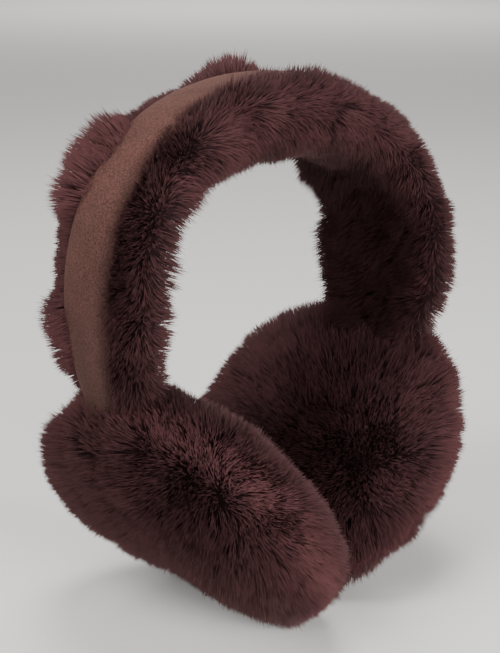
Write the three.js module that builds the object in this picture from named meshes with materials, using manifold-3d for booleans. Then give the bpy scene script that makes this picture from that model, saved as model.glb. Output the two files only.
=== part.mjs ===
// Fur earmuffs: a sprung headband of suede lined with deep shearling, and a round fur pad at each end.
// Millimetres, +Z up. The earmuffs stand on the soft lower rims of their pads.
// Origin: on the floor under the middle of the band.
// X runs from ear to ear, Y from the face to the back of the head.
import * as THREE from "three";
import { mergeVertices } from "three/addons/utils/BufferGeometryUtils.js";
import Module from "manifold-3d";

const wasm = await Module();
wasm.setup();

// Headband: its suede side follows |x/a|^p + |z/b|^p = 1 over the head
const BAND_HALF_SPAN = 77.5;
const BAND_RISE = 69.5;
const BAND_POWER = 2.24;
const BAND_CENTRE_Z = 115;
const BAND_END_DEG = 121;
const BAND_STATIONS = 23;

// Suede strip, with both edges turned in, which narrows from the taper angle to its ends
const SUEDE_WIDTH = 22.4;
const SUEDE_END_WIDTH = 16;
const SUEDE_TAPER_DEG = 88;
const SUEDE_THICKNESS = 1.8;
const SUEDE_CROWN = 1.3;
const SUEDE_LIP = 3.4;

// The suede's shoulders, where its crown starts to fall: shares of the half width outside and inside,
// and the share of the crown that has fallen there
const SHOULDER = { outside: 0.8, inside: 0.7, fall: 0.45 };

// Shearling lining, a row for each place on the band, in degrees from its top:
// how deep the wool is towards the head, and how far it reaches past the suede in front and behind
const LINING = [
  { angle: -121, depth: 14.5, front: 10, back: 9 },
  { angle: -104, depth: 20, front: 15, back: 13 },
  { angle: -80, depth: 20, front: 15.5, back: 14 },
  { angle: -62, depth: 19.5, front: 14.5, back: 15 },
  { angle: -45, depth: 22, front: 12.5, back: 16 },
  { angle: -20, depth: 27.5, front: 10.5, back: 15 },
  { angle: 0, depth: 28, front: 10.5, back: 15.5 },
  { angle: 25, depth: 27, front: 11, back: 17 },
  { angle: 45, depth: 25, front: 13, back: 18.5 },
  { angle: 62, depth: 22.5, front: 16, back: 19 },
  { angle: 80, depth: 21, front: 19.5, back: 18.5 },
  { angle: 104, depth: 20, front: 18.5, back: 18.5 },
  { angle: 121, depth: 14.5, front: 12, back: 13 },
];

// Wisps: how far the wool behind the suede stands out past it, in degrees from the top and millimetres
const WISPS = [
  { angle: -121, rise: 0.5 },
  { angle: -108, rise: 1 },
  { angle: -101, rise: 4 },
  { angle: -92, rise: 5 },
  { angle: -85, rise: 1 },
  { angle: -66, rise: 1 },
  { angle: -59, rise: 6.5 },
  { angle: -42, rise: 6.5 },
  { angle: -34, rise: 1 },
  { angle: -20, rise: -2 },
  { angle: -10, rise: 2.5 },
  { angle: -1, rise: 6.5 },
  { angle: 6, rise: 0.5 },
  { angle: 30, rise: 0 },
  { angle: 40, rise: 4 },
  { angle: 48, rise: 3.5 },
  { angle: 60, rise: 1 },
  { angle: 121, rise: 1 },
];

// Half of the lining's section, from beside the suede to the face towards the head: shares of the reach
// and of the depth, the share of a wisp's rise, and which way a clearance moves the point
const RUFF = [
  { out: 0.3, deep: 0, rise: 0.8, away: 0, down: -1 },
  { out: 0.75, deep: 0.1, rise: 1, away: 1, down: -1 },
  { out: 1, deep: 0.36, rise: 0.5, away: 1, down: 0 },
  { out: 0.8, deep: 0.7, rise: 0.1, away: 1, down: 1 },
  { out: 0.1, deep: 0.93, rise: 0, away: 0, down: 1 },
];

// Fur pads: rounded discs of unlike wool that lean together at the bottom. x, y and z are the distances
// of the middle from the origin, and along, up and thick are half sizes over the wool
const PADS = [
  {
    name: "left_pad",
    side: -1,
    middle: { x: 39.4, y: 6.5, z: 42.7 },
    leanDeg: 33.9,
    turnDeg: 5.1,
    half: { along: 56.8, up: 57, thick: 22.3 },
    power: 2.58,
    swells: [
      { aroundDeg: 125, polarDeg: 90, amount: -4.3 },
      { aroundDeg: 172, polarDeg: 46, amount: 4.4 },
      { aroundDeg: 245, polarDeg: 38, amount: -9.9 },
      { aroundDeg: 320, polarDeg: 80, amount: -2.1 },
    ],
  },
  {
    name: "right_pad",
    side: 1,
    middle: { x: 39, y: 6.5, z: 44 },
    leanDeg: 39.8,
    turnDeg: 7.6,
    half: { along: 56.1, up: 58.3, thick: 19.5 },
    power: 2.35,
    swells: [],
  },
];
const SWELL_WIDTH_DEG = 38;
const PAD_AROUND = 20;
const PAD_ACROSS = 9;

// Locks of wool, which stand out of the backing. Reach is the height over the backing that the wool has
const PAD_LOCK_REACH = 3;
const LINING_LOCK_REACH = 1.8;
const LOCK_SIDES = 5;
const LOCK_VARIATION = 0.12;
const LOCK_PROFILE = [
  { radius: 0, height: 0 },
  { radius: 1, height: 0.45 },
  { radius: 0.75, height: 0.8 },
  { radius: 0, height: 1 },
];
const PAD_LOCKS = 52;
const PAD_LOCK_SPREAD = 0.65;
const PAD_LOCK = { length: 13, width: 10, thickness: 7, sunk: 7.7 };
const PAD_LOCK_LEAN = { face: 0.7, rim: 0.12, rimShare: 0.6, swirl: 0.5 };
const RUFF_LOCK = { length: 15, width: 6.5, thickness: 4.5, sunk: 9, lean: 0.3 };
const INNER_LOCK = { length: 12, width: 6, thickness: 5.5, sunk: 7.5, lean: 0.5 };

// Rows of locks along the lining: shares of the reach and of the depth, then the ways that a lock stands
// and that its tip bends, each as [along Y, towards the head]
const LINING_LOCK_ROWS = [
  { y: -0.95, depth: 0.28, out: [-1, -0.3], tip: [0, -1], size: RUFF_LOCK },
  { y: 0.95, depth: 0.22, out: [1, -0.6], tip: [0, -1], size: RUFF_LOCK },
  { y: -0.6, depth: 0.82, out: [-0.6, 0.8], tip: [-1, 0], size: INNER_LOCK },
  { y: 0.6, depth: 0.82, out: [0.6, 0.8], tip: [1, 0], size: INNER_LOCK },
];
const LINING_LOCKS_DEG = { end: 90, step: 12.8, stagger: 5, stray: 2 };
const LINING_LOCK_TURN = 0.3;

// Clearance between pieces, pockets for the band's ends, and the block that flattens a pad
const GAP = 0.35;
const END_GAP_DEG = 0.4;
const PAD_POCKET_DEG = 80;
const BLOCK = 400;
const SEED = 7;
const MERGE = 1e-3;

const Y_AXIS = new THREE.Vector3(0, 1, 0);
const Z_AXIS = new THREE.Vector3(0, 0, 1);
const { lerp, degToRad, smoothstep, clamp } = THREE.MathUtils;

// A repeatable draw from -1 to 1 for lock number i
const draw = (i, channel) => THREE.MathUtils.seededRandom(SEED + 97 * i + 13 * channel) * 2 - 1;

// A closed three.js geometry as a manifold-3d solid
function solidOf(geometry) {
  const bare = new THREE.BufferGeometry()
    .setAttribute("position", geometry.getAttribute("position"))
    .setIndex(geometry.index);
  const merged = mergeVertices(bare, MERGE);
  return new wasm.Manifold(
    new wasm.Mesh({
      numProp: 3,
      vertProperties: new Float32Array(merged.attributes.position.array),
      triVerts: new Uint32Array(merged.index.array),
    }),
  );
}

// A manifold-3d solid as a three.js geometry
function geometryOf(solid) {
  const { vertProperties, triVerts } = solid.getMesh();
  return new THREE.BufferGeometry()
    .setAttribute("position", new THREE.BufferAttribute(vertProperties, 3))
    .setIndex(new THREE.BufferAttribute(triVerts, 1));
}

// The main body of a solid, without the crumbs and sealed pores that crossing locks leave
function mainBody(solid) {
  const larger = (best, body) => (body.volume() > best.volume() ? body : best);
  return solidOf(geometryOf(solid.decompose().reduce(larger))).decompose().reduce(larger);
}

// A named mesh of a solid
function meshOf(solid, name, material) {
  const geometry = geometryOf(mainBody(solid));
  geometry.computeVertexNormals();
  const mesh = new THREE.Mesh(geometry, material);
  mesh.name = name;
  return mesh;
}

// A solid lofted through closed rings of points, with a flat cap on each end
function loft(rings, outline) {
  const count = outline.length;
  const points = rings.flat();
  const index = [];
  for (let r = 0; r + 1 < rings.length; r++) {
    for (let i = 0; i < count; i++) {
      const a = r * count + i;
      const b = r * count + ((i + 1) % count);
      index.push(a, a + count, b, b, a + count, b + count);
    }
  }
  const last = (rings.length - 1) * count;
  for (const [a, b, c] of THREE.ShapeUtils.triangulateShape(outline, [])) {
    index.push(a, b, c, last + a, last + c, last + b);
  }
  return solidOf(new THREE.BufferGeometry().setFromPoints(points).setIndex(index));
}

// Place and inward direction of the band's suede side, at an angle in degrees from its top
function bandFrame(angle) {
  const at = (t) => {
    const [s, c] = [Math.sin(t), Math.cos(t)];
    const q = (Math.abs(s) ** BAND_POWER + Math.abs(c) ** BAND_POWER) ** (-1 / BAND_POWER);
    return new THREE.Vector3(BAND_HALF_SPAN * s * q, 0, BAND_CENTRE_Z + BAND_RISE * c * q);
  };
  const t = degToRad(angle);
  const small = 1e-3;
  const along = at(t + small).sub(at(t - small)).normalize();
  return { place: at(t), along, inward: new THREE.Vector3(along.z, 0, -along.x) };
}

// The point that lies y along the head and depth inside the suede side of the band
function bandPoint(angle, y, depth) {
  const { place, inward } = bandFrame(angle);
  return place.addScaledVector(inward, depth).addScaledVector(Y_AXIS, y);
}

// A column of a table at an angle: smooth steps between its rows
function between(rows, angle, column) {
  const next = Math.max(1, rows.findIndex((row) => row.angle >= angle - 1e-9));
  const [from, to] = [rows[next - 1], rows[next]];
  return lerp(from[column], to[column], smoothstep(angle, from.angle, to.angle));
}

// Sizes of the lining's backing at an angle: those of the wool, less what its locks add
function liningAt(angle) {
  return {
    depth: between(LINING, angle, "depth") - LINING_LOCK_REACH,
    front: between(LINING, angle, "front") - LINING_LOCK_REACH,
    back: between(LINING, angle, "back") - LINING_LOCK_REACH,
  };
}

// Half of the suede's width, which narrows where the band runs down into a pad
function suedeHalfWidth(angle) {
  const taper = smoothstep(Math.abs(angle), SUEDE_TAPER_DEG, BAND_END_DEG);
  return lerp(SUEDE_WIDTH, SUEDE_END_WIDTH, taper) / 2;
}

// Section of the suede strip, as [y, depth], grown by a clearance on every side
function suedeSection(angle, grow) {
  const half = suedeHalfWidth(angle);
  const wall = SUEDE_THICKNESS;
  const fallen = SHOULDER.fall * SUEDE_CROWN;
  const outside = [
    [half + grow, SUEDE_LIP + grow],
    [half + grow, SUEDE_CROWN - grow],
    [SHOULDER.outside * half, fallen - grow],
  ];
  const inside = [
    [SHOULDER.inside * half, fallen + wall + grow],
    [half - wall - grow, SUEDE_CROWN + wall + grow],
    [half - wall - grow, SUEDE_LIP + grow],
  ];
  const mirrored = (points) => points.map(([y, depth]) => [-y, depth]);
  return [
    ...mirrored(outside),
    [0, -grow],
    ...outside.toReversed(),
    ...inside.toReversed(),
    [0, wall + grow],
    ...mirrored(inside),
  ];
}

// Section of the lining, as [y, depth]: a ruff past each edge of the suede, and a crowned inner face
function liningSection(angle, grow) {
  const half = suedeHalfWidth(angle);
  const { depth, front, back } = liningAt(angle);
  const flank = (side, reach, wisp) =>
    RUFF.map(({ out, deep, rise, away, down }) => [
      side * (half + out * reach + away * grow),
      deep * depth + down * grow - rise * wisp,
    ]);
  return [
    [0, grow ? -grow : SUEDE_THICKNESS / 2],
    ...flank(1, back, between(WISPS, angle, "rise")),
    [0, depth + grow],
    ...flank(-1, front, 0).toReversed(),
  ];
}

// Angles of the band's stations, from the left end to the right one
const BAND_ANGLES = Array.from(
  { length: BAND_STATIONS },
  (_, i) => BAND_END_DEG * ((2 * i) / (BAND_STATIONS - 1) - 1),
);

// A solid that follows the band through the given angles, with the given section
function alongBand(section, angles) {
  const rings = angles.map((angle) => section(angle).map(([y, depth]) => bandPoint(angle, y, depth)));
  const outline = section(angles[0]).map(([y, depth]) => new THREE.Vector2(y, depth));
  return loft(rings, outline);
}

// One lock of wool: a flattened teardrop whose tip bends over, rooted below the surface at a point.
// It stands along out, is widest across side, and its tip bends towards lean.
function lock(point, out, lean, size) {
  const { length, width, thickness, sunk } = size;
  const profile = LOCK_PROFILE.map(({ radius, height }) => new THREE.Vector2(radius, height));
  const drop = new THREE.LatheGeometry(profile, LOCK_SIDES);
  const towards = lean.clone().addScaledVector(out, -lean.dot(out)).normalize();
  const side = new THREE.Vector3().crossVectors(out, towards);
  const positions = drop.getAttribute("position");
  for (let i = 0; i < positions.count; i++) {
    const height = positions.getY(i);
    const bend = size.lean * length * height * height;
    const placed = point
      .clone()
      .addScaledVector(side, positions.getX(i) * width)
      .addScaledVector(towards, positions.getZ(i) * thickness + bend)
      .addScaledVector(out, height * length - sunk);
    positions.setXYZ(i, placed.x, placed.y, placed.z);
  }
  return solidOf(drop);
}

// A direction in a pad's own axes, from an angle round its face and one away from its outer side
function heading(around, polar) {
  const flat = Math.sin(polar);
  return new THREE.Vector3(flat * Math.cos(around), flat * Math.sin(around), Math.cos(polar));
}

// Axes of a pad: along the head, up its face, and out away from the head, as the columns of a matrix
function padMatrix({ side, middle, leanDeg, turnDeg }) {
  const lean = degToRad(leanDeg);
  const turned = (x, y, z) => new THREE.Vector3(x, y, z).applyAxisAngle(Z_AXIS, degToRad(turnDeg));
  const along = turned(0, side, 0);
  const up = turned(side * Math.sin(lean), 0, Math.cos(lean));
  const out = turned(side * Math.cos(lean), 0, -Math.sin(lean));
  const centre = new THREE.Vector3(side * middle.x, side * middle.y, middle.z);
  return new THREE.Matrix4().makeBasis(along, up, out).setPosition(centre);
}

// Point and normal of a pad's backing in a direction of its own axes: the superellipsoid
// ((y/a)^2 + (u/b)^2)^(m/2) + |w/t|^m = 1, moved along its normal by the swells
function padSkin(pad, way) {
  const { half, power, swells } = pad;
  const sizes = new THREE.Vector3(half.along, half.up, half.thick).subScalar(PAD_LOCK_REACH);
  const flat = Math.hypot(way.x, way.y);
  const scale = (flat ** power + Math.abs(way.z) ** power) ** (-1 / power);
  const local = way.clone().multiplyScalar(scale);
  const slope = (flat * scale) ** (power - 2);
  const normal = new THREE.Vector3(slope, slope, Math.abs(local.z) ** (power - 2)).multiply(local);
  normal.divide(sizes).normalize();
  const width = 1 - Math.cos(degToRad(SWELL_WIDTH_DEG));
  const swell = ({ aroundDeg, polarDeg, amount }) =>
    amount * Math.exp((way.dot(heading(degToRad(aroundDeg), degToRad(polarDeg))) - 1) / width);
  const lift = swells.reduce((sum, one) => sum + swell(one), 0);
  const matrix = padMatrix(pad);
  return {
    point: local.multiply(sizes).addScaledVector(normal, lift).applyMatrix4(matrix),
    normal: normal.transformDirection(matrix),
  };
}

// Backing of a pad: a sphere's grid carried to its skin
function padBacking(pad) {
  const grid = new THREE.SphereGeometry(1, PAD_AROUND, PAD_ACROSS);
  const positions = grid.getAttribute("position");
  for (let i = 0; i < positions.count; i++) {
    const way = new THREE.Vector3(positions.getX(i), -positions.getZ(i), positions.getY(i));
    const { point } = padSkin(pad, way);
    positions.setXYZ(i, point.x, point.y, point.z);
  }
  return solidOf(grid);
}

// Locks all over a pad, spread by the golden angle, whose tips lean from the middle of each face to the rim
function padLocks(pad) {
  const golden = Math.PI * (3 - Math.sqrt(5));
  const matrix = padMatrix(pad);
  return Array.from({ length: PAD_LOCKS }, (_, i) => {
    const share = 1 - (2 * (i + 0.5)) / PAD_LOCKS;
    const w = Math.sign(share) * Math.abs(share) ** PAD_LOCK_SPREAD;
    const around = golden * i;
    const { point, normal } = padSkin(pad, heading(around, Math.acos(w)));
    const flow = heading(around, Math.PI / 2);
    const round = heading(around + Math.PI / 2, Math.PI / 2);
    flow.addScaledVector(round, PAD_LOCK_LEAN.swirl * draw(i, 1)).transformDirection(matrix);
    const faceShare = Math.min(1, Math.abs(w) / PAD_LOCK_LEAN.rimShare);
    return lock(point, normal, flow, {
      ...PAD_LOCK,
      length: PAD_LOCK.length * (1 + LOCK_VARIATION * draw(i, 2)),
      lean: PAD_LOCK_LEAN.face * faceShare + PAD_LOCK_LEAN.rim,
    });
  });
}

// A pad: backing and locks in one body, with a pocket for the end of the band, pressed flat by the floor
// and where it meets the other pad
function padSolid(pad) {
  const { side } = pad;
  const fur = padLocks(pad).reduce((body, one) => body.add(one), padBacking(pad));
  const leg = BAND_ANGLES.filter((angle) => side * angle > PAD_POCKET_DEG);
  const pocketAngles = [...leg, side * (BAND_END_DEG + END_GAP_DEG)].sort((a, b) => a - b);
  const pocket = alongBand((angle) => liningSection(angle, GAP), pocketAngles);
  const block = new THREE.BoxGeometry(BLOCK, BLOCK, BLOCK);
  const floor = solidOf(block.clone().translate(0, 0, -BLOCK / 2));
  const otherPad = solidOf(block.translate(-side * (BLOCK / 2 - GAP), 0, 0));
  return fur.subtract(pocket).subtract(floor).subtract(otherPad);
}

// Locks along the lining: a ruff on each flank, and two rows towards the head
function liningLocks() {
  const { end, step, stagger, stray } = LINING_LOCKS_DEG;
  const locks = [];
  for (let angle = -end, i = 0; angle <= end; angle += step, i++) {
    LINING_LOCK_ROWS.forEach((row, r) => {
      const here = clamp(angle + (r % 2) * stagger + stray * draw(i, r), -end, end);
      const { depth, front, back } = liningAt(here);
      const reach = suedeHalfWidth(here) + (row.y < 0 ? front : back);
      const { along, inward } = bandFrame(here);
      const aim = (y, w) => new THREE.Vector3().addScaledVector(Y_AXIS, y).addScaledVector(inward, w);
      const out = aim(...row.out).addScaledVector(along, LINING_LOCK_TURN * draw(i, r + 4)).normalize();
      const point = bandPoint(here, row.y * reach, row.depth * depth);
      const length = row.size.length * (1 + LOCK_VARIATION * draw(i, r + 8));
      locks.push(lock(point, out, aim(...row.tip), { ...row.size, length }));
    });
  }
  return locks;
}

// The lining in one body with its locks, hollowed to clear the suede that it lies under
function lining() {
  const body = alongBand((angle) => liningSection(angle, 0), BAND_ANGLES);
  const pastEnd = BAND_END_DEG + END_GAP_DEG;
  const room = alongBand((angle) => suedeSection(angle, GAP), [-pastEnd, ...BAND_ANGLES, pastEnd]);
  return liningLocks()
    .reduce((fur, one) => fur.add(one), body)
    .subtract(room);
}

const suede = new THREE.MeshStandardMaterial({ color: "#6f4638", roughness: 0.95, metalness: 0 });
const wool = new THREE.MeshStandardMaterial({ color: "#3c2426", roughness: 1, metalness: 0 });

const earmuffs = new THREE.Group();
const strip = alongBand((angle) => suedeSection(angle, 0), BAND_ANGLES);
earmuffs.add(
  meshOf(strip, "suede_band", suede),
  meshOf(lining(), "band_lining", wool),
  ...PADS.map((pad) => meshOf(padSolid(pad), pad.name, wool)),
);
export default earmuffs;
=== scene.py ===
"""Fur earmuffs: the finish of a suede headband lined with shearling, and of its two wool pads.

The wool is real geometry. A dark skin follows each soft form a few millimetres down, and fine closed fibres
grow out of it in tufts, whose tips gather into the small clumps that sheared sheepskin shows.
"""

import math

import bpy
import numpy as np
from bpy.props import FloatProperty, FloatVectorProperty, IntProperty, PointerProperty
from bpy.types import Operator, Panel, PropertyGroup
from mathutils.kdtree import KDTree
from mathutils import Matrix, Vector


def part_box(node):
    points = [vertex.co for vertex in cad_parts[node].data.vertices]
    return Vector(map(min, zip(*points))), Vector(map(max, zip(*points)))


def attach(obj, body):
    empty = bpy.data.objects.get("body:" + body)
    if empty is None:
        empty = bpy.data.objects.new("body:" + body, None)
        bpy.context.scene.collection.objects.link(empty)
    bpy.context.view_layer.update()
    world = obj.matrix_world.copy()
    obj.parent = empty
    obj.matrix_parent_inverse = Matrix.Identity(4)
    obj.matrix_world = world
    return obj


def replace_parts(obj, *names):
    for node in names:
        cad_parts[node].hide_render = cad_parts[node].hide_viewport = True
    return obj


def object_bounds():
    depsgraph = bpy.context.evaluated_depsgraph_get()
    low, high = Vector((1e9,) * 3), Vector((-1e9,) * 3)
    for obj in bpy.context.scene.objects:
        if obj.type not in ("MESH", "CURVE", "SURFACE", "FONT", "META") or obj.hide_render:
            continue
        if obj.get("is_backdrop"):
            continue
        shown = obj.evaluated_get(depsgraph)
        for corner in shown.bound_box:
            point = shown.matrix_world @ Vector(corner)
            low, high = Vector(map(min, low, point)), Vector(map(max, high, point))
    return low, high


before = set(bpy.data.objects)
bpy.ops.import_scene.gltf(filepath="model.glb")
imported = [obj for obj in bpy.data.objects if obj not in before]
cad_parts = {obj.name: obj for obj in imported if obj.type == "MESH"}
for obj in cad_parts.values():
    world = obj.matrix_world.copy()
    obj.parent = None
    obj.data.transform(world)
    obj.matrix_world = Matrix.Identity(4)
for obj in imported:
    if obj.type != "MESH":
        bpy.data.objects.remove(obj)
CAD_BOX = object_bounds()

bl_info = {
    "name": "Fur earmuffs",
    "version": (1, 0, 0),
    "blender": (4, 5, 0),
    "location": "View3D > Sidebar > Earmuffs",
    "description": "Builds the suede strip, the wool lining and the wool pads of a pair of fur earmuffs",
    "category": "Object",
}

MM = 0.001
BAKE_MAP = "OFBake"
# The step over which slopes are taken
STEP = 1e-4
# The seeds of the random draws
LINING_SEED, PAD_SEED = 11, 20

# The headband: its suede side follows |x/a|^p + |z/b|^p = 1 over the head, up to an end angle from its top
STRIP_LOW, STRIP_HIGH = (np.array(corner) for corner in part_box("suede_band"))
BAND_CENTRE_Z = 115 * MM
BAND_HALF_SPAN = STRIP_HIGH[0]
BAND_RISE = STRIP_HIGH[2] - BAND_CENTRE_Z
BAND_POWER = 2.24
BAND_END = math.radians(121)

# The suede strip, which narrows from the taper angle to its end
SUEDE_HALF_WIDTH = STRIP_HIGH[1]
SUEDE_END_HALF_WIDTH = 8 * MM
SUEDE_TAPER = math.radians(88)
SUEDE_CROWN = 1.5 * MM
SUEDE_WAVE = 0.25 * MM
# Where the strip ends on the left and on the right, and how much its half width narrows once more before that
SUEDE_END, SUEDE_END_RIGHT = math.radians(126), math.radians(121)
SUEDE_END_NARROWS = 2.5 * MM
# How far below the strip's outer face the wool beneath it stays
SUEDE_COVER = 2.2 * MM
# Near its ends the strip leaves the band's curve and hangs straight on over the wool of the pads: from
# which angle and by how much on the left and on the right
HANG_FROM_LEFT, HANG_FROM_RIGHT = math.radians(112), math.radians(108)
HANG_LEFT, HANG_RIGHT = 9 * MM, 12 * MM
HANG_TO = math.radians(128)
# How far the wool of a pad is pressed down at most under the strip
PRESSED = 4 * MM

# Where the tips of the lining's wool lie, a row for each place on the band: degrees from its top, then in
# millimetres its depth towards the head, its reach past the suede in front, and its reach behind
LINING_ROWS = (
    (-121, 14.5, 10, 9),
    (-104, 20, 15, 13),
    (-80, 20, 15.5, 14),
    (-62, 19.5, 14.5, 15),
    (-45, 22, 12.5, 16),
    (-20, 27.5, 10.5, 15),
    (0, 28, 10.5, 15.5),
    (25, 27, 11, 17),
    (45, 25, 13, 18.5),
    (62, 22.5, 16, 19),
    (80, 21, 19.5, 18.5),
    (104, 20, 18.5, 18.5),
    (121, 14.5, 12, 13),
)

# How far the wool behind the suede stands out past it, in ragged wisps: degrees from the top, then
# millimetres
WISPS = (
    (-121, 0.5),
    (-108, 1),
    (-101, 4),
    (-92, 5),
    (-85, 1),
    (-66, 1),
    (-59, 6.5),
    (-42, 6.5),
    (-34, 1),
    (-20, -2),
    (-10, 2.5),
    (-1, 6.5),
    (6, 0.5),
    (30, 0),
    (40, 4),
    (48, 3.5),
    (60, 1),
    (121, 1),
)

# The pads: superellipsoids of wool that lean together, and are pressed flat by the floor and by each other.
# A row for each: its centre, the lean of its face from upright and its turn about Z, in degrees, and its
# half sizes
PAD_COLUMNS = ("side", "x", "y", "z", "lean", "turn", "along", "up", "thick", "power")
PADS = {
    "left_pad": (-1, 39.4, 6.5, 42.7, 33.9, 5.1, 56.8, 57.0, 22.3, 2.58),
    "right_pad": (1, 39.0, 6.5, 44.0, 39.8, 7.6, 56.1, 58.3, 19.5, 2.35),
}

# Where the wool of a pad swells or sinks: degrees round its face and away from its outer face, then
# millimetres
SWELL_WIDTH = math.radians(38)
SWELLS = {
    "left_pad": ((125, 90, -4.3), (172, 46, 4.4), (245, 38, -9.9), (320, 80, -2.1)),
    "right_pad": (),
}
# How far the wool of the pads stays over the floor, and from the plane in which the two pads meet
CLEARANCE = 0.25 * MM

# How the tips of the wool gather: for each set of seeds, their spacing in millimetres, the share of the way
# that they draw a tip, how far their own lean and height stray, and how far their tone does
LOCKS = ((7.0, 0.18, 0.24, 0.07, 0.03), (1.6, 0.16, 0.14, 0.04, 0.02))

# Shares of the wool's depth: how deep its roots lie, how deep the surface lies over which they are spread,
# and how deep the dark skin lies, on the lining and on the pads
WOOL_SHARE = 0.9
LINING_SPREAD, PAD_SPREAD = 0.8, 0.5
LINING_SKIN, PAD_SKIN = 0.55, 0.62

# How the wool leans, as shares of its height: away from the suede beside it, towards the head on the flanks
# of the lining, towards the rim on the pads, and downwards everywhere
SUEDE_LEAN, FLANK_LEAN, PAD_LEAN = 0.75, 0.3, 1.1
WOOL_SAG = np.array([0, 0, -0.15])
# How far the lean strays, from fibre to fibre and in broad swirls, and how wide the swirls and the broad
# tufts are
LEAN_STRAYS, LEAN_SWIRLS = 0.15, 0.16
SWIRL_SIZE, TUFT_SIZE = 16 * MM, 24 * MM
# How far the height and the tone stray, from fibre to fibre and in broad tufts, and the tone that they
# stray from
HEIGHT_STRAYS, HEIGHT_BROAD = 0.06, 0.05
BASE_TONE, TONE_STRAYS, TONE_BROAD = 0.37, 0.05, 0.03

# Painted rim light: the wool is drawn lighter round the outer rims of the pads, where light catches it
# side-on, by this much of its range of tones
RIM_PAINTED_LIGHT = 0.32
# Painted light and shade on the lining's wool: its ruffs are drawn lighter as painted light, and its face
# towards the head darker as painted shade, where the band shades it
RUFF_PAINTED_LIGHT, FACE_PAINTED_SHADE = 0.07, -0.14
# The wisps behind the suede are drawn the lightest, as a painted glow of the light behind them, and its
# shortest wool is between them: shares of the wool's depth
WISP_PAINTED_GLOW = 0.3
WISP_TALLEST, WISP_SHARES = 6.5 * MM, (0.77, 1.1)
# On the right leg the wool of the edge between the face towards the head and the back ruff is longer, by
# this share
EDGE_LONGER = 0.3
# Beside the suede in front it is shorter on the right leg, and so is the wool at the back end of the left pad
FRONT_SHORTER, END_SHORTER = 0.15, 0.25

# The suede's nap and mottle, and the heights over which painted light from above takes it from its darkest,
# lower down, to its lightest
SUEDE_GRAIN, SUEDE_MOTTLE = 0.6 * MM, 11 * MM
PAINTED_LIGHT_LOW, PAINTED_LIGHT_HIGH = 80 * MM, 165 * MM
WOOL_FELT = 1.5 * MM

# How much a fibre's lean turns its shading, and how much its two sides differ
SHADING_LEAN = 0.28
FIBRE_ROUNDING = 0.28

# The camera of the photograph: where it stands and looks, from the middle of the earmuffs
CAMERA_AIM = np.array([0, 0, 95]) * MM
CAMERA_AZIMUTH = math.radians(45.3)
CAMERA_ELEVATION = math.radians(16.4)
CAMERA_DISTANCE = 460.7 * MM
CAMERA_SLIDE = (-3.9 * MM, 1.9 * MM)
CAMERA_ROLL = math.radians(0.37)
CAMERA_FOCUS_PX = 1321
FRAME_LONG_SIDE_PX = 653
SENSOR_MM = 36

# The studio: half the side of its floor, the strength of its sky, and its lights, a row for each. A row is
# a name, a place, a side and a power in watts, and the point that the light looks at
FLOOR_HALF_SIDE = 6.0
SKY_STRENGTH = 0.18
LIGHTS = (
    ("front", (-0.1, -1.35, 0.4), 0.8, 34, CAMERA_AIM),
    ("top_left", (-0.97, 0.0, 1.05), 0.8, 11, CAMERA_AIM),
    ("left", (-1.3, 0.2, 0.33), 0.6, 10, CAMERA_AIM),
    ("top", (0.1, 0.05, 1.5), 0.6, 13.5, CAMERA_AIM),
    ("behind", (3.2, 3.2, 2.4), 2.5, 90, (3.2, 3.2, 0)),
)


def linear(code):
    """An sRGB hex colour as linear red, green, blue and alpha."""
    channels = [int(code[i : i + 2], 16) / 255 for i in (1, 3, 5)]
    return [c / 12.92 if c <= 0.04045 else ((c + 0.055) / 1.055) ** 2.4 for c in channels] + [1.0]


class EarmuffSizes(PropertyGroup):
    """Sizes that a user would change."""

    fibres_per_pad: IntProperty(
        name="Fibres on a pad", description="Fibres of wool on each pad", default=70000, min=1000
    )
    fibres_on_band: IntProperty(
        name="Fibres on the band", description="Fibres of wool on the lining", default=94000, min=1000
    )
    fibre_width: FloatProperty(
        name="Fibre width",
        description="Width of a fibre at its widest, drawn coarser than real wool so that it shows",
        default=0.3 * MM,
        unit="LENGTH",
    )
    wool_depth: FloatProperty(
        name="Wool depth",
        description="Height of the wool over its skin",
        default=8 * MM,
        unit="LENGTH",
    )


class EarmuffColours(PropertyGroup):
    """Colours that a user would change."""

    suede: FloatVectorProperty(
        name="Suede", description="Dyed suede", default=linear("#4c322d"), size=4, subtype="COLOR"
    )
    wool_tip: FloatVectorProperty(
        name="Wool tips",
        description="Ends of the fibres",
        default=linear("#432829"),
        size=4,
        subtype="COLOR",
    )
    wool_root: FloatVectorProperty(
        name="Wool roots",
        description="Roots of the fibres",
        default=linear("#211213"),
        size=4,
        subtype="COLOR",
    )


def unit(v):
    """Vectors scaled to length one."""
    return v / np.maximum(np.linalg.norm(v, axis=-1, keepdims=True), 1e-12)


def dot(a, b):
    """Scalar product along the last axis, which is kept."""
    return (a * b).sum(-1, keepdims=True)


def smooth(x, low, high):
    """Smooth step: 0 below low, 1 above high and 3t^2 - 2t^3 between."""
    t = np.clip((x - low) / (high - low), 0, 1)
    return t * t * (3 - 2 * t)


def band_place(t):
    """Points of the suede's crown at angles t from the top: the superellipse in polar form."""
    s, c = np.sin(t), np.cos(t)
    q = (abs(s) ** BAND_POWER + abs(c) ** BAND_POWER) ** (-1 / BAND_POWER)
    return np.stack([BAND_HALF_SPAN * s * q, 0 * t, BAND_CENTRE_Z + BAND_RISE * c * q], -1)


def band_point(t, y, depth):
    """Points y along Y from the crown and depth in from it: the crown, plus y times Y, plus depth times the
    inward normal."""
    along = unit(band_place(t + STEP) - band_place(t - STEP))
    inward = np.stack([along[..., 2], 0 * t, -along[..., 0]], -1)
    return band_place(t) + inward * depth[..., None] + y[..., None] * np.array([0, 1, 0])


def suede_half_width(t):
    """Half of the strip's width at angles t: constant, then a smooth step down to the ends."""
    taper = smooth(abs(t), SUEDE_TAPER, BAND_END)
    end = SUEDE_END_NARROWS * smooth(abs(t), BAND_END, SUEDE_END)
    return SUEDE_HALF_WIDTH + (SUEDE_END_HALF_WIDTH - SUEDE_HALF_WIDTH) * taper - end


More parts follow.
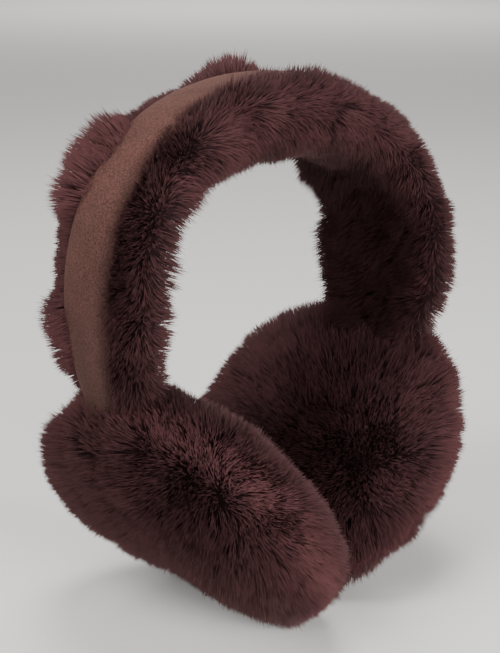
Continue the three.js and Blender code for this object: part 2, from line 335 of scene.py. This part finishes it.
def suede_depth(t):
    """How deep the strip lies from the band's curve: nought, and then a smooth step outwards at its ends."""
    left = HANG_LEFT * smooth(-t, HANG_FROM_LEFT, HANG_TO)
    return -left - HANG_RIGHT * smooth(t, HANG_FROM_RIGHT, HANG_TO)


def suede_surface(t, v):
    """The strip's closed section carried along the band: v runs once round the outer face, the turned-in
    edge, the inner face and the other edge. The outer face is y = h s with depth = crown s^4, the rest are
    straights. The outer face also waves a little along the band."""
    half = suede_half_width(t)
    turns = np.array([0, 0.48, 0.52, 0.56, 0.58, 0.61, 0.93, 0.96, 0.98, 1.0])
    side = np.array([-1, 1, 1.03, 1.03, 0.90, 0.86, -0.86, -0.90, -1.03, -1])
    down = np.array([1, 1, 1.4, 2.4, 2.4, 1.6, 1.6, 2.4, 2.4, 1])
    y = half * np.interp(v, turns, side)
    outer = v < turns[1]
    depth = SUEDE_CROWN * np.interp(v, turns, down)
    depth = depth - SUEDE_CROWN * (1 - (y / half) ** 4).clip(0, 1) * outer
    wave = SUEDE_WAVE * np.sin(9 * t + 1.3) * np.sin(4 * t)
    return band_point(t, y, depth + wave * outer + suede_depth(t))


def between(t, rows, column):
    """A column of a table in metres, at angles t: smooth steps from each row's value to the next one's."""
    table = np.array(rows, float)
    angles = table[:, 0]
    angle = np.degrees(t)
    i = np.clip(np.searchsorted(angles, angle, side="right") - 1, 0, len(angles) - 2)
    share = smooth(angle, angles[i], angles[i + 1])
    return (table[i, column] * (1 - share) + table[i + 1, column] * share) * MM


def lining_section(t, v, inset):
    """The wool's section under the strip, y and depth: a Catmull-Rom curve through its points from the
    suede's front edge (v = 0) over the front ruff, the face towards the head and the back ruff to its back
    edge (v = 1), shrunk about its middle by the inset on every side."""
    depth, front, back = (between(t, LINING_ROWS, column) for column in (1, 2, 3))
    wisp = between(t, WISPS, 1)[..., None]
    half = suede_half_width(t)
    zero = 0 * half
    y = [
        -half + 1.5 * MM,
        -half - 0.3 * front,
        -half - 0.75 * front,
        -half - front,
        -half - 0.8 * front,
        -half - 0.1 * front,
        zero,
        half + 0.1 * back,
        half + 0.8 * back,
        half + back,
        half + 0.75 * back,
        half + 0.3 * back,
        half - 1.5 * MM,
    ]
    shares = np.array([0.05, 0, 0.06, 0.36, 0.7, 0.95, 1, 0.95, 0.7, 0.36, 0.06, 0, 0.05])
    lift = np.array([0.8, 1.6, 1, 0, 0, 0, 0, 0, 0, 0, 1, 1.6, 0.8]) * MM
    ragged = np.array([0, 0, 0, 0, 0, 0, 0, 0, 0.1, 0.5, 1, 0.8, 0])
    points = np.stack([np.stack(y, -1), shares * depth[..., None] - lift - ragged * wisp], -1)
    last = points.shape[-2] - 1
    at = np.clip(v, 0, 1) * last
    i = np.minimum(at.astype(int), last - 1)
    f = (at - i)[..., None]

    def knot(k):
        return np.take_along_axis(points, np.clip(i + k, 0, last)[..., None, None], -2)[..., 0, :]

    p0, p1, p2, p3 = (knot(k) for k in (-1, 0, 1, 2))
    squared, cubed = 2 * p0 - 5 * p1 + 4 * p2 - p3, 3 * p1 - p0 - 3 * p2 + p3
    curve = 0.5 * (2 * p1 + (p2 - p0) * f + squared * f**2 + cubed * f**3)
    middle = 0.5 * depth
    y_scale = 1 - inset / (half + 0.5 * (front + back))
    depth_scale = 1 - inset / middle
    return curve[..., 0] * y_scale, middle + (curve[..., 1] - middle) * depth_scale


def lining_surface(t, v, inset=0.0):
    """The wool's surface on the band: its section carried along the superellipse."""
    y, depth = lining_section(t, v, inset)
    return band_point(t, y, depth)


def pad_sizes(node):
    """A pad's row of sizes by name, in metres and radians."""
    row = dict(zip(PAD_COLUMNS, PADS[node]))
    scale = {key: MM for key in ("x", "y", "z", "along", "up", "thick")}
    scale.update(lean=math.radians(1), turn=math.radians(1))
    return {key: value * scale.get(key, 1) for key, value in row.items()}


def pad_axes(node):
    """A pad's centre and its axes: along the head, up its face, and out away from the head."""
    pad = pad_sizes(node)
    side = pad["side"]
    c, s = math.cos(pad["turn"]), math.sin(pad["turn"])
    turn = np.array([[c, -s, 0], [s, c, 0], [0, 0, 1]])
    out = turn @ [side * math.cos(pad["lean"]), 0, -math.sin(pad["lean"])]
    up = turn @ [side * math.sin(pad["lean"]), 0, math.cos(pad["lean"])]
    along = turn @ [0, side, 0]
    return np.array([side * pad["x"], side * pad["y"], pad["z"]]), np.stack([along, up, out])


def heading(around, polar):
    """Unit directions in a pad's own axes, from an angle round its face and one away from its outer side."""
    return np.stack([np.sin(polar) * np.cos(around), np.sin(polar) * np.sin(around), np.cos(polar)], -1)


def pad_skin(node, around, polar, inset):
    """Points and normals of a pad, inset under its wool: the superellipsoid ((y/a)^2 + (u/b)^2)^(m/2) +
    |w/t|^m = 1 in a direction given by two angles, moved along its normal, which is the gradient of that
    sum, by the swells less the inset. A swell is its amount times exp((cos d - 1)/(1 - cos width)) at the
    angle d from its middle."""
    pad = pad_sizes(node)
    centre, axes = pad_axes(node)
    way = heading(around, polar)
    m = pad["power"]
    rho, w = np.hypot(way[..., 0], way[..., 1]), way[..., 2]
    scale = (rho**m + abs(w) ** m) ** (-1 / m)
    radii = np.array([pad["along"], pad["up"], pad["thick"]])
    local = way * scale[..., None]
    flat = (rho * scale) ** (m - 2)
    slope = np.stack(
        [flat * local[..., 0], flat * local[..., 1], abs(local[..., 2]) ** (m - 1) * np.sign(w)], -1
    )
    normal = unit(slope / radii)
    lift = -inset + 0 * polar
    for at_around, at_polar, amount in SWELLS[node]:
        near = way @ heading(math.radians(at_around), math.radians(at_polar))
        lift = lift + amount * MM * np.exp((near - 1) / (1 - math.cos(SWELL_WIDTH)))
    point = local * radii + normal * lift[..., None]
    return centre + point @ axes, normal @ axes


def ripple(points, wavelength, seed, waves=24):
    """Smooth noise of about unit size: the sum of plane waves in random directions, of about one
    wavelength."""
    rng = np.random.default_rng(seed)
    ways = unit(rng.normal(size=(waves, 3))) * rng.uniform(0.7, 1.4, (waves, 1)) * 2 * math.pi / wavelength
    return np.sin(points @ ways.T + rng.uniform(0, 2 * math.pi, waves)).sum(-1) * math.sqrt(2 / waves)


def lining_field(a, b):
    """Roots, normals, leans, heights and painted light and shade of the wool on the band, for shares a along
    it and b round its section. The wool stands off the skin, leans away from the suede beside it and towards
    the head on the flanks. The shares are kept off the very edges of the section, where it has no normal."""
    t = (2 * a - 1) * BAND_END
    v = 0.015 + 0.97 * b
    depth = bpy.context.scene.earmuff_sizes.wool_depth

    def at(t, v):
        return lining_surface(t, v, depth * WOOL_SHARE)

    root = at(t, v)
    along = unit(at(t + STEP, v) - at(t - STEP, v))
    across = unit(at(t, v + STEP) - at(t, v - STEP))
    normal = unit(np.cross(across, along))
    back = np.sign(v - 0.5)[:, None]
    beside_suede = smooth(abs(v - 0.5), 0.30, 0.46)[:, None]
    flank = smooth(abs(v - 0.5), 0.06, 0.16)[:, None] * (1 - beside_suede)
    lean = SUEDE_LEAN * beside_suede * np.array([0, 1, 0]) * back - FLANK_LEAN * flank * across * back
    lean = lean + WOOL_SAG
    # Painted shade on the face towards the head, painted light on the ruffs
    painted_shading = FACE_PAINTED_SHADE + (RUFF_PAINTED_LIGHT - FACE_PAINTED_SHADE) * smooth(abs(v - 0.5), 0.08, 0.24)
    wisp = (between(t, WISPS, 1) / WISP_TALLEST).clip(0, 1)
    behind = smooth(v, 0.6, 0.74) * (1 - smooth(t, 0.2, 0.5))
    low, high = WISP_SHARES
    share = 1 + behind * (low + (high - low) * wisp - 1)
    edge = smooth(t, 0.5, 0.9) * smooth(v, 0.5, 0.58) * (1 - smooth(v, 0.66, 0.76))
    front = smooth(t, 0.1, 0.4) * (1 - smooth(t, 1.2, 1.5)) * (1 - smooth(v, 0.28, 0.36))
    share = share + EDGE_LONGER * edge - FRONT_SHORTER * front
    # Painted glow of the light behind the wisps
    painted_shading = painted_shading + WISP_PAINTED_GLOW * behind * wisp
    return root, normal, lean - normal * dot(lean, normal), depth * share, painted_shading


def pad_field(node):
    """The field of a pad: its wool leans from the middle of each face towards the rim, where it stands
    straight. Its tone is drawn lighter round the outer rim, as painted rim light."""

    def field(a, b):
        depth = bpy.context.scene.earmuff_sizes.wool_depth
        around, polar = 2 * math.pi * a, math.pi * b
        root, normal = pad_skin(node, around, polar, depth * WOOL_SHARE)
        way = heading(around, polar)
        lean = (PAD_LEAN * (way * [0.75, 1, 0])) @ pad_axes(node)[1] + WOOL_SAG
        # Painted rim light: a band round the outer rim where the tone is drawn lighter
        rim_from, rim_full, rim_fades, rim_to = np.radians([45, 80, 95, 125])
        rim = smooth(polar, rim_from, rim_full) * (1 - smooth(polar, rim_fades, rim_to))
        end = smooth(-way[..., 0], 0.5, 0.85) * (node == "left_pad")
        height = depth * (1 - END_SHORTER * end)
        return root, normal, lean - normal * dot(lean, normal), height, RIM_PAINTED_LIGHT * rim

    return field


def under_suede(points):
    """Points over the strip moved in under it, towards the middle of the band, but for a ragged rim. A
    point is over it where (|x/a|^p + |z/b|^p)^(1/p) is more than one less the strip's share of the radius
    there."""
    x, z = points[:, 0] / BAND_HALF_SPAN, (points[:, 2] - BAND_CENTRE_Z) / BAND_RISE
    t = np.arctan2(x, z)
    reach = (abs(x) ** BAND_POWER + abs(z) ** BAND_POWER) ** (1 / BAND_POWER)
    radius = np.linalg.norm(band_place(t) - [0, 0, BAND_CENTRE_Z], axis=-1)
    most = 1 - (suede_depth(t) + SUEDE_COVER) / radius
    ragged = ripple(points, 3 * MM, 5)
    beside = abs(points[:, 1]) - suede_half_width(t) - 0.5 * MM * ragged
    end = np.where(t < 0, SUEDE_END, SUEDE_END_RIGHT)
    beyond = abs(t) - end + np.radians(2.5 - 1.5 * ragged)
    scale = np.where((beside < -0.5 * MM) & (beyond < 0) & (reach > most), most / reach, 1)
    scale = np.maximum(scale, 1 - PRESSED / (reach * radius))
    points[:, 0] *= scale
    points[:, 2] = BAND_CENTRE_Z + (points[:, 2] - BAND_CENTRE_Z) * scale
    return points


def scatter(surface, count, rng, rows=160, columns=160):
    """count pairs of shares, spread evenly over a surface, in random order: equal steps through the running
    sum of the areas of a grid's cells, with a random place in each cell. The area comes with them."""
    a, b = np.meshgrid(np.linspace(0, 1, rows + 1), np.linspace(0, 1, columns + 1), indexing="ij")
    p = surface(a, b)
    one, two = p[1:, 1:] - p[:-1, :-1], p[1:, :-1] - p[:-1, 1:]
    area = np.linalg.norm(np.cross(one, two), axis=-1).ravel()
    running = np.cumsum(area) / area.sum()
    cell = np.searchsorted(running, (np.arange(count) + rng.random(count)) / count).clip(0, area.size - 1)
    row, column = np.divmod(cell, columns)
    order = rng.permutation(count)
    a, b = (row + rng.random(count)) / rows, (column + rng.random(count)) / columns
    return a[order], b[order], area.sum() / 2


def nearest(points, centres):
    """For each point, the place in the list of the centre that is nearest."""
    tree = KDTree(len(centres))
    for i, centre in enumerate(centres.tolist()):
        tree.insert(centre, i)
    tree.balance()
    return np.array([tree.find(point)[1] for point in points.tolist()])


def grow(field, surface, count, seed, keep):
    """Roots, tips, shading normals and tones of count fibres.

    Each fibre has a place of its own, and a straight tip: its root, plus its height along the normal and
    its lean. The tip is then drawn part of the way to the tips of its tuft and of its clump, two sets of
    seeds scattered over the surface, and shorn back to its height. keep moves points out of what is solid.
    """
    rng = np.random.default_rng(seed)
    a, b, area = scatter(surface, count, rng)
    root, normal, lean, height, painted_shading = field(a, b)
    broad = ripple(root, TUFT_SIZE, seed)
    height = height * (1 + HEIGHT_BROAD * broad + HEIGHT_STRAYS * rng.normal(size=count)).clip(0.7, 1.3)
    swirls = np.stack([ripple(root, SWIRL_SIZE, seed + k) for k in (1, 2, 3)], -1)
    lean = lean + LEAN_STRAYS * rng.normal(size=root.shape) + LEAN_SWIRLS * swirls
    tip = root + (normal + lean) * height[:, None]
    # The tone takes the field's painted light and shade, besides its random strays and broad tufts
    tone = BASE_TONE + TONE_STRAYS * rng.normal(size=count) + TONE_BROAD * broad + painted_shading
    for spacing, pull, spread, lift, shade in LOCKS:
        seeds = int(area / (spacing * MM) ** 2)
        seed_a, seed_b, _ = scatter(surface, seeds, rng)
        seed_root, seed_normal, seed_lean, seed_height, _ = field(seed_a, seed_b)
        seed_lean = seed_lean + spread * rng.normal(size=seed_lean.shape)
        seed_height = seed_height * (1 + lift * rng.normal(size=seeds)).clip(0.6, 1.4)
        seed_tip = seed_root + (seed_normal + seed_lean) * seed_height[:, None]
        mine = nearest(root, seed_root)
        tip = tip + pull * (seed_tip[mine] - tip)
        height = height * (1 + 0.6 * (seed_height[mine] / seed_height.mean() - 1))
        tone = tone + shade * rng.normal(size=seeds)[mine]
    tip = tip + normal * (height[:, None] - dot(tip - root, normal)) * 0.92
    slide = (tip - root) / height[:, None] - normal
    facing = unit(normal + SHADING_LEAN * slide)
    return keep(root), keep(tip), facing, tone.clip(0.02, 0.98)


def fibre_mesh(name, roots, tips, facing, tones, width):
    """Closed fibres with four faces: each widens from its root to a short edge at its knee, and narrows to
    its tip. They are shaded by the wool's own surface rather than by their facets, because real fibres, ten
    times finer, pass the light on to each other. The map gives a fibre its tone as u, and its height from
    root to tip as v."""
    n = len(roots)
    rng = np.random.default_rng(n)
    axis = unit(tips - roots)
    side = unit(np.cross(axis, rng.normal(size=axis.shape)))
    other = np.cross(axis, side)
    knee = roots + (tips - roots) * rng.uniform(0.55, 0.8, (n, 1)) - other * width / 3
    points = np.stack([roots, knee + side * width / 2, knee - side * width / 2, tips], axis=1)
    points[:, :, 2] = np.maximum(points[:, :, 2], CLEARANCE / 2)
    rounding = FIBRE_ROUNDING * np.stack([0 * side, side, -side, 0 * side], axis=1)
    normals = unit(facing[:, None] + rounding).reshape(-1, 3)
    faces = np.array([(0, 1, 2), (0, 3, 1), (0, 2, 3), (3, 2, 1)])
    corners = (np.arange(n)[:, None, None] * 4 + faces).reshape(-1)
    mesh = bpy.data.meshes.new(name)
    mesh.vertices.add(n * 4)
    mesh.vertices.foreach_set("co", points.astype(np.float32).ravel())
    mesh.loops.add(len(corners))
    mesh.loops.foreach_set("vertex_index", corners.astype(np.int32))
    mesh.polygons.add(len(corners) // 3)
    mesh.polygons.foreach_set("loop_start", np.arange(0, len(corners), 3, dtype=np.int32))
    mesh.update(calc_edges=True)
    mesh.polygons.foreach_set("use_smooth", np.ones(len(corners) // 3, dtype=bool))
    mesh.normals_split_custom_set_from_vertices(normals)
    spread = 0.004
    u = np.repeat(tones, 4).reshape(n, 4) + spread * np.array([0, -1, 1, 0])
    v = np.tile([0.01, 0.63, 0.64, 0.99], (n, 1))
    uv = np.stack([u, v], -1).reshape(-1, 2)[corners]
    mesh.uv_layers.new(name=BAKE_MAP).uv.foreach_set("vector", uv.astype(np.float32).ravel())
    return mesh


def grid_mesh(name, points, ends):
    """A closed skin through rings of points, each ring joined end to end, with a face on each end. The map
    runs once along it and once round it."""
    rings, count = points.shape[:2]
    i, j = np.meshgrid(np.arange(rings - 1), np.arange(count), indexing="ij")
    k = (j + 1) % count
    corners = [i * count + j, i * count + k, (i + 1) * count + k, (i + 1) * count + j]
    quads = np.stack(corners, -1).reshape(-1, 4)
    faces = quads.tolist()
    faces.append(list(range(count))[::-1])
    faces.append([(rings - 1) * count + c for c in range(count)])
    mesh = bpy.data.meshes.new(name)
    mesh.from_pydata(points.reshape(-1, 3).tolist(), [], faces)
    mesh.polygons.foreach_set("use_smooth", [True] * (len(faces) - ends) + [False] * ends)
    u = np.stack([i, i, i + 1, i + 1], -1) / (rings - 1)
    v = np.stack([j, j + 1, j + 1, j], -1) / count
    uv = np.stack([u, v], -1).reshape(-1, 2) * 0.94 + 0.03
    rim = np.stack([0.01 + 0 * np.arange(2 * count), np.tile(np.linspace(0.01, 0.02, count), 2)], -1)
    uv = np.concatenate([uv, rim])
    mesh.uv_layers.new(name=BAKE_MAP).uv.foreach_set("vector", uv.astype(np.float32).ravel())
    mesh.update()
    return mesh


def place(mesh, name, material):
    """A finished object at the origin, which rides with the part and wears the material."""
    obj = bpy.data.objects.new(name, mesh)
    bpy.context.scene.collection.objects.link(obj)
    mesh.materials.append(material)
    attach(obj, "root")
    return obj


def add_node(tree, kind, links=(), **settings):
    """Adds a node, sets its inputs (by name or place) and its own values, and links (output, input) pairs
    to it."""
    node = tree.nodes.new(kind)
    for key, value in settings.pop("inputs", {}).items():
        node.inputs[key].default_value = value
    for key, value in settings.items():
        setattr(node, key, value)
    for output, key in links:
        tree.links.new(output, node.inputs[key])
    return node


def new_material(name):
    """An empty node material, its tree and its output node."""
    material = bpy.data.materials.new(name)
    material.use_nodes = True
    tree = material.node_tree
    tree.nodes.clear()
    return material, tree, tree.nodes.new("ShaderNodeOutputMaterial")


def dyed_suede(colour):
    """Sueded hide, buffed to a short nap: matt, with a fine grain and a soft mottle where the nap lies either
    way, painted shade along its front edge, where the wool shades it, and painted light from above: lighter
    high on the band, darker lower down. Real nap is about 0.1 mm; it is drawn at 0.6 mm so that it shows."""
    material, tree, output = new_material("dyed_suede")
    spot = add_node(tree, "ShaderNodeTexCoord").outputs["Object"]
    grain = add_node(
        tree,
        "ShaderNodeTexNoise",
        [(spot, "Vector")],
        inputs={"Scale": 1 / SUEDE_GRAIN, "Detail": 2, "Roughness": 0.6},
    )
    mottle = add_node(
        tree,
        "ShaderNodeTexNoise",
        [(spot, "Vector")],
        inputs={"Scale": 1 / SUEDE_MOTTLE, "Detail": 4, "Roughness": 0.6},
    )
    fine = add_node(
        tree,
        "ShaderNodeMapRange",
        [(grain.outputs["Fac"], "Value")],
        inputs={"From Min": 0.3, "From Max": 0.7, "To Min": 0.5, "To Max": 1.5},
    )
    broad = add_node(
        tree,
        "ShaderNodeMapRange",
        [(mottle.outputs["Fac"], "Value")],
        inputs={"From Min": 0.3, "From Max": 0.7, "To Min": 0.85, "To Max": 1.12},
    )
    shade = add_node(
        tree,
        "ShaderNodeMath",
        [(fine.outputs["Result"], 0), (broad.outputs["Result"], 1)],
        operation="MULTIPLY",
    )
    own_map = add_node(tree, "ShaderNodeUVMap", uv_map=BAKE_MAP)
    across = add_node(tree, "ShaderNodeSeparateXYZ", [(own_map.outputs[0], 0)])
    # Painted shade along the front edge, where the wool beside it shades the suede
    painted_edge_shade = add_node(
        tree,
        "ShaderNodeMapRange",
        [(across.outputs["Y"], "Value")],
        inputs={"From Min": 0.82, "From Max": 0.97, "To Min": 1.0, "To Max": 0.45},
        interpolation_type="SMOOTHSTEP",
    )
    shade = add_node(
        tree, "ShaderNodeMath", [(shade.outputs[0], 0), (painted_edge_shade.outputs["Result"], 1)], operation="MULTIPLY"
    )
    up = add_node(tree, "ShaderNodeSeparateXYZ", [(spot, 0)])
    # Painted light from above: the suede is drawn darker lower down and lighter high on the band
    painted_top_light = add_node(
        tree,
        "ShaderNodeMapRange",
        [(up.outputs["Z"], "Value")],
        inputs={"From Min": PAINTED_LIGHT_LOW, "From Max": PAINTED_LIGHT_HIGH, "To Min": 0.42, "To Max": 1.12},
    )
    shade = add_node(
        tree,
        "ShaderNodeMath",
        [(shade.outputs[0], 0), (painted_top_light.outputs["Result"], 1)],
        operation="MULTIPLY",
    )
    tinted = add_node(
        tree,
        "ShaderNodeVectorMath",
        [(shade.outputs[0], "Scale")],
        operation="SCALE",
        inputs={0: colour[:3]},
    )
    bump = add_node(
        tree,
        "ShaderNodeBump",
        [(grain.outputs["Fac"], "Height")],
        inputs={"Strength": 0.5, "Distance": 0.25 * MM},
    )
    surface = add_node(
        tree,
        "ShaderNodeBsdfPrincipled",
        [(tinted.outputs[0], "Base Color"), (bump.outputs[0], "Normal")],
        inputs={"Roughness": 0.95, "Specular IOR Level": 0.15, "Sheen Weight": 0.35, "Sheen Roughness": 0.45},
    )
    surface.inputs["Sheen Tint"].default_value = linear("#8a6b60")
    tree.links.new(surface.outputs[0], output.inputs["Surface"])
    return material


def dyed_wool(root, tip):
    """Dyed sheep's wool, sheared to one height: each fibre is matt, darker at its root, and lighter and
    warmer at its tip, with tufts of slightly different shades. It reads the fibre's map: u is the tone, which
    also carries painted light and shade, and v the height."""
    material, tree, output = new_material("dyed_wool")
    map_node = add_node(tree, "ShaderNodeUVMap", uv_map=BAKE_MAP)
    parts = add_node(tree, "ShaderNodeSeparateXYZ", [(map_node.outputs[0], 0)])
    tone = add_node(
        tree,
        "ShaderNodeMapRange",
        [(parts.outputs["X"], "Value")],
        inputs={"To Min": 0.4, "To Max": 2.0},
    )
    height = add_node(
        tree,
        "ShaderNodeMapRange",
        [(parts.outputs["Y"], "Value")],
        inputs={"From Min": 0.15, "From Max": 0.95},
        interpolation_type="SMOOTHSTEP",
    )
    mix = add_node(
        tree,
        "ShaderNodeMix",
        [(height.outputs["Result"], "Factor")],
        data_type="RGBA",
    )
    mix.inputs[6].default_value = root
    mix.inputs[7].default_value = tip
    tinted = add_node(
        tree,
        "ShaderNodeVectorMath",
        [(mix.outputs[2], 0), (tone.outputs["Result"], "Scale")],
        operation="SCALE",
    )
    surface = add_node(
        tree,
        "ShaderNodeBsdfPrincipled",
        [(tinted.outputs[0], "Base Color")],
        inputs={"Roughness": 0.85, "Specular IOR Level": 0.1, "Sheen Weight": 0.45, "Sheen Roughness": 0.4},
    )
    surface.inputs["Sheen Tint"].default_value = linear("#6c5655")
    tree.links.new(surface.outputs[0], output.inputs["Surface"])
    return material


def wool_skin(colour):
    """The felted ground of the wool, where fibres are too dense to tell apart: near black brown, matt."""
    material, tree, output = new_material("wool_skin")
    spot = add_node(tree, "ShaderNodeTexCoord").outputs["Object"]
    noise = add_node(
        tree, "ShaderNodeTexNoise", [(spot, "Vector")], inputs={"Scale": 1 / WOOL_FELT, "Detail": 3}
    )
    shade = add_node(
        tree,
        "ShaderNodeMapRange",
        [(noise.outputs["Fac"], "Value")],
        inputs={"From Min": 0.3, "From Max": 0.7, "To Min": 0.5, "To Max": 1.1},
    )
    tinted = add_node(
        tree,
        "ShaderNodeVectorMath",
        [(shade.outputs[0], "Scale")],
        operation="SCALE",
        inputs={0: colour[:3]},
    )
    surface = add_node(
        tree,
        "ShaderNodeBsdfPrincipled",
        [(tinted.outputs[0], "Base Color")],
        inputs={"Roughness": 1.0, "Specular IOR Level": 0.1},
    )
    tree.links.new(surface.outputs[0], output.inputs["Surface"])
    return material


def plain_paint(name, code):
    """A plain matt studio surface."""
    material, tree, output = new_material(name)
    surface = add_node(
        tree,
        "ShaderNodeBsdfPrincipled",
        inputs={"Base Color": linear(code), "Roughness": 0.9, "Specular IOR Level": 0.1},
    )
    tree.links.new(surface.outputs[0], output.inputs["Surface"])
    return material


def shared(name, make, *colours):
    """The material of that name, made the first time that it is asked for."""
    return bpy.data.materials.get(name) or make(*colours)


def wool_materials():
    """The materials of the fibres and of their skin."""
    colours = bpy.context.scene.earmuff_colours
    return (
        shared("dyed_wool", dyed_wool, colours.wool_root, colours.wool_tip),
        shared("wool_skin", wool_skin, colours.wool_root),
    )


def lay_fibres(name, parts, field, surface, count, seed, keep):
    """The wool of one soft form as a few pieces of fibres, dealt out in turn."""
    fibres = grow(field, surface, count, seed, keep)
    width = bpy.context.scene.earmuff_sizes.fibre_width
    material = wool_materials()[0]
    for k, part in enumerate(parts):
        mesh = fibre_mesh(f"{name}_{part}", *(values[k :: len(parts)] for values in fibres), width)
        yield place(mesh, f"{name}_{part}", material)


class EARMUFFS_OT_suede(Operator):
    """The suede strip on the outer face of the headband"""

    bl_idname = "earmuffs.suede"
    bl_label = "Suede strip"

    def execute(self, context):
        t, v = np.meshgrid(
            np.linspace(-SUEDE_END, SUEDE_END_RIGHT, 291),
            np.linspace(0, 1, 50, endpoint=False),
            indexing="ij",
        )
        mesh = grid_mesh("suede_strip", suede_surface(t, v)[:, ::-1], 2)
        material = shared("dyed_suede", dyed_suede, context.scene.earmuff_colours.suede)
        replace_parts(place(mesh, "suede_strip", material), "suede_band")
        return {"FINISHED"}


class EARMUFFS_OT_lining(Operator):
    """The shearling lining of the headband: a skin and its fibres"""

    bl_idname = "earmuffs.lining"
    bl_label = "Wool lining"

    def execute(self, context):
        sizes = context.scene.earmuff_sizes
        t, v = np.meshgrid(np.linspace(-BAND_END, BAND_END, 161), np.linspace(0, 1, 32), indexing="ij")
        skin = lining_surface(t, v, LINING_SKIN * sizes.wool_depth)
        skin = place(grid_mesh("lining_skin", skin, 2), "lining_skin", wool_materials()[1])
        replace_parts(skin, "band_lining")

        def surface(a, b):
            return lining_surface((2 * a - 1) * BAND_END, b, LINING_SPREAD * sizes.wool_depth)

        count = sizes.fibres_on_band
        for piece in lay_fibres(
            "lining_wool", ("a", "b"), lining_field, surface, count, LINING_SEED, above_floor
        ):
            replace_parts(piece, "band_lining")
        return {"FINISHED"}


class EARMUFFS_OT_pads(Operator):
    """The two wool pads: a skin and its fibres each"""

    bl_idname = "earmuffs.pads"
    bl_label = "Wool pads"

    def execute(self, context):
        sizes = context.scene.earmuff_sizes
        for node in PADS:
            polar, around = np.meshgrid(
                np.linspace(0.02, math.pi - 0.02, 49),
                np.linspace(0, 2 * math.pi, 96, endpoint=False),
                indexing="ij",
            )
            points = pad_skin(node, around, polar, PAD_SKIN * sizes.wool_depth)[0]
            name = f"{node}_skin"
            skin = place(grid_mesh(name, points, 2), name, wool_materials()[1])
            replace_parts(skin, node)
            side = PADS[node][0]

            def surface(a, b, node=node):
                return pad_skin(node, 2 * math.pi * a, math.pi * b, PAD_SPREAD * sizes.wool_depth)[0]

            def keep(points, side=side):
                points = above_floor(under_suede(points))
                points[:, 0] = side * np.maximum(side * points[:, 0], CLEARANCE)
                return points

            count = sizes.fibres_per_pad
            for piece in lay_fibres(
                f"{node}_wool", ("a", "b"), pad_field(node), surface, count, PAD_SEED + side, keep
            ):
                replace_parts(piece, node)
        return {"FINISHED"}


def above_floor(points):
    """Points moved up to just over the floor where they would pass through it."""
    points[:, 2] = np.maximum(points[:, 2], CLEARANCE)
    return points


def add_light(name, spot, size, power, aim):
    """A square soft light that looks at a point."""
    light = bpy.data.lights.new(name, "AREA")
    light.size, light.energy = size, power
    obj = bpy.data.objects.new(name, light)
    bpy.context.scene.collection.objects.link(obj)
    obj.location = spot
    away = obj.location - type(obj.location)(aim)
    obj.rotation_mode = "QUATERNION"
    obj.rotation_quaternion = away.to_track_quat("Z", "Y")


class EARMUFFS_OT_stage(Operator):
    """The floor, the soft studio lights and the camera of the photograph"""

    bl_idname = "earmuffs.stage"
    bl_label = "Stage"

    def execute(self, context):
        scene = context.scene
        mesh = bpy.data.meshes.new("floor")
        s = FLOOR_HALF_SIDE
        mesh.from_pydata([(-s, -s, 0), (s, -s, 0), (s, s, 0), (-s, s, 0)], [], [(0, 1, 2, 3)])
        floor = bpy.data.objects.new("floor", mesh)
        scene.collection.objects.link(floor)
        mesh.materials.append(plain_paint("studio_floor", "#e9e7e4"))
        floor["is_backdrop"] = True

        world = bpy.data.worlds.new("studio")
        world.use_nodes = True
        sky = world.node_tree.nodes["Background"]
        sky.inputs["Color"].default_value = linear("#f2f1ef")
        sky.inputs["Strength"].default_value = SKY_STRENGTH
        scene.world = world
        for light in LIGHTS:
            add_light(*light)

        a, e = CAMERA_AZIMUTH, CAMERA_ELEVATION
        back = np.array([-math.sin(a) * math.cos(e), -math.cos(a) * math.cos(e), math.sin(e)])
        right = np.array([math.cos(a), -math.sin(a), 0])
        up = np.cross(back, right)
        stand = CAMERA_AIM + CAMERA_DISTANCE * back
        aim = CAMERA_AIM + CAMERA_SLIDE[0] * right + CAMERA_SLIDE[1] * up
        camera = bpy.data.objects.new("camera", bpy.data.cameras.new("camera"))
        scene.collection.objects.link(camera)
        camera.data.sensor_width = SENSOR_MM
        camera.data.lens = CAMERA_FOCUS_PX * SENSOR_MM / FRAME_LONG_SIDE_PX
        camera.location = stand
        camera.rotation_mode = "QUATERNION"
        vector = type(camera.location)
        turned = vector(aim - stand).to_track_quat("-Z", "Y")
        camera.rotation_quaternion = turned @ type(turned)((0, 0, 1), CAMERA_ROLL)
        camera.data.clip_start, camera.data.clip_end = 0.01, 50
        scene.camera = camera
        return {"FINISHED"}


class EARMUFFS_PT_panel(Panel):
    """Builds the earmuffs piece by piece"""

    bl_label = "Earmuffs"
    bl_idname = "EARMUFFS_PT_panel"
    bl_space_type = "VIEW_3D"
    bl_region_type = "UI"
    bl_category = "Earmuffs"

    def draw(self, context):
        layout = self.layout
        for group in (context.scene.earmuff_sizes, context.scene.earmuff_colours):
            for key in group.__annotations__:
                layout.prop(group, key)
        for operator in OPERATORS:
            layout.operator(operator.bl_idname)


OPERATORS = (EARMUFFS_OT_stage, EARMUFFS_OT_suede, EARMUFFS_OT_lining, EARMUFFS_OT_pads)
CLASSES = (EarmuffSizes, EarmuffColours, *OPERATORS, EARMUFFS_PT_panel)


def register():
    for cls in CLASSES:
        bpy.utils.register_class(cls)
    bpy.types.Scene.earmuff_sizes = PointerProperty(type=EarmuffSizes)
    bpy.types.Scene.earmuff_colours = PointerProperty(type=EarmuffColours)


def unregister():
    del bpy.types.Scene.earmuff_colours
    del bpy.types.Scene.earmuff_sizes
    for cls in reversed(CLASSES):
        bpy.utils.unregister_class(cls)


def main():
    register()
    bpy.ops.earmuffs.stage()
    bpy.ops.earmuffs.suede()
    bpy.ops.earmuffs.lining()
    bpy.ops.earmuffs.pads()
    boxes = {"cad": CAD_BOX, "visual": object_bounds()}
    {name: [list(corner) for corner in box] for name, box in boxes.items()}


if __name__ == "__main__":
    main()
